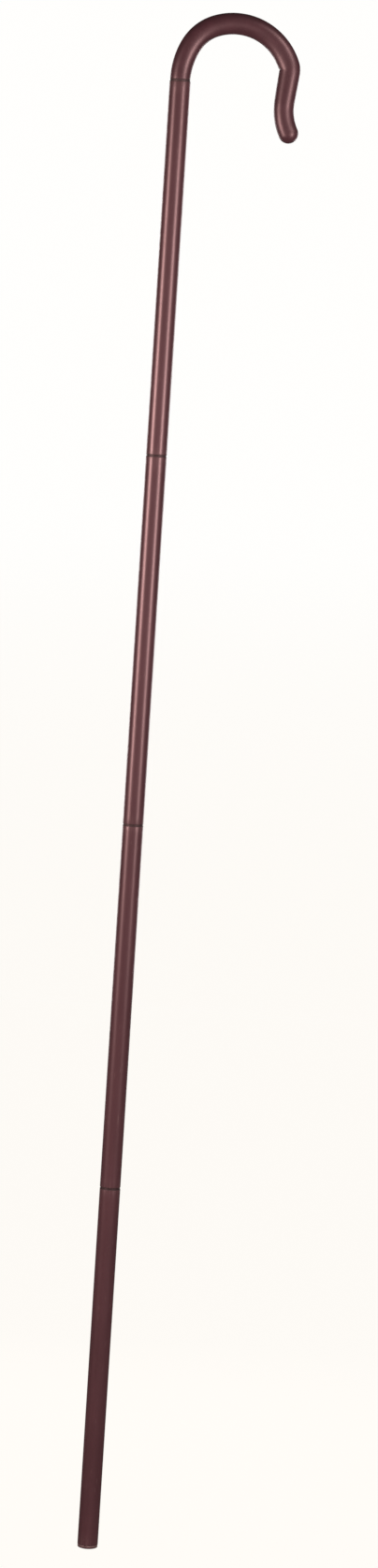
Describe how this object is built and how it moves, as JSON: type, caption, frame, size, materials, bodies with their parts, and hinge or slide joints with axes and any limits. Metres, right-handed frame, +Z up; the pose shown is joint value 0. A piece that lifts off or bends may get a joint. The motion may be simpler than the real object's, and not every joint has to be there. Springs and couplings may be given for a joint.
{
  "type": "crook cane",
  "caption": "Knock-down crook cane: a bent hollow handle over straight plastic tubes that plug together on short connectors, with a domed foot plug.",
  "frame": {"origin": "centre of the foot's flat middle, the lowest point of the cane", "axes": "+Z up the shaft, +X towards the crook's open side, +Y across the crook's plane"},
  "size_m": [0.1163, 0.0186, 1.3855],
  "materials": {
    "crook_plastic": "semi-gloss dark reddish brown, moulded",
    "tube_plastic": "semi-gloss dark reddish brown, extruded",
    "connector_plastic": "satin dark brown",
    "foot_plastic": "satin dark brown"
  },
  "bodies": {
    "crook": {"crook_handle": "crook_plastic"},
    "crook_plug": {"crook_plug": "connector_plastic"},
    "tube_1": {"tube_1": "tube_plastic"},
    "connector_1": {"connector_1": "connector_plastic"},
    "tube_2": {"tube_2": "tube_plastic"},
    "connector_2": {"connector_2": "connector_plastic"},
    "tube_3": {"tube_3": "tube_plastic"},
    "connector_3": {"connector_3": "connector_plastic"},
    "tube_4": {"tube_4": "tube_plastic", "foot_plug": "foot_plastic"}
  },
  "joints": [
    {"name": "crook_plug_twist", "type": "hinge", "parent": "crook", "child": "crook_plug", "pos_m": [0, 0, 1.3234], "axis": [0, 0, 1], "continuous": true},
    {"name": "tube_1_pull", "type": "slide", "parent": "crook_plug", "child": "tube_1", "axis": [0, 0, -1], "range_m": [0, 0.035]},
    {"name": "connector_1_twist", "type": "hinge", "parent": "tube_1", "child": "connector_1", "pos_m": [0, 0, 0.9932], "axis": [0, 0, 1], "continuous": true},
    {"name": "tube_2_pull", "type": "slide", "parent": "connector_1", "child": "tube_2", "axis": [0, 0, -1], "range_m": [0, 0.035]},
    {"name": "connector_2_twist", "type": "hinge", "parent": "tube_2", "child": "connector_2", "pos_m": [0, 0, 0.663], "axis": [0, 0, 1], "continuous": true},
    {"name": "tube_3_pull", "type": "slide", "parent": "connector_2", "child": "tube_3", "axis": [0, 0, -1], "range_m": [0, 0.035]},
    {"name": "connector_3_twist", "type": "hinge", "parent": "tube_3", "child": "connector_3", "pos_m": [0, 0, 0.3328], "axis": [0, 0, 1], "continuous": true},
    {"name": "tube_4_pull", "type": "slide", "parent": "connector_3", "child": "tube_4", "axis": [0, 0, -1], "range_m": [0, 0.035]}
  ]
}
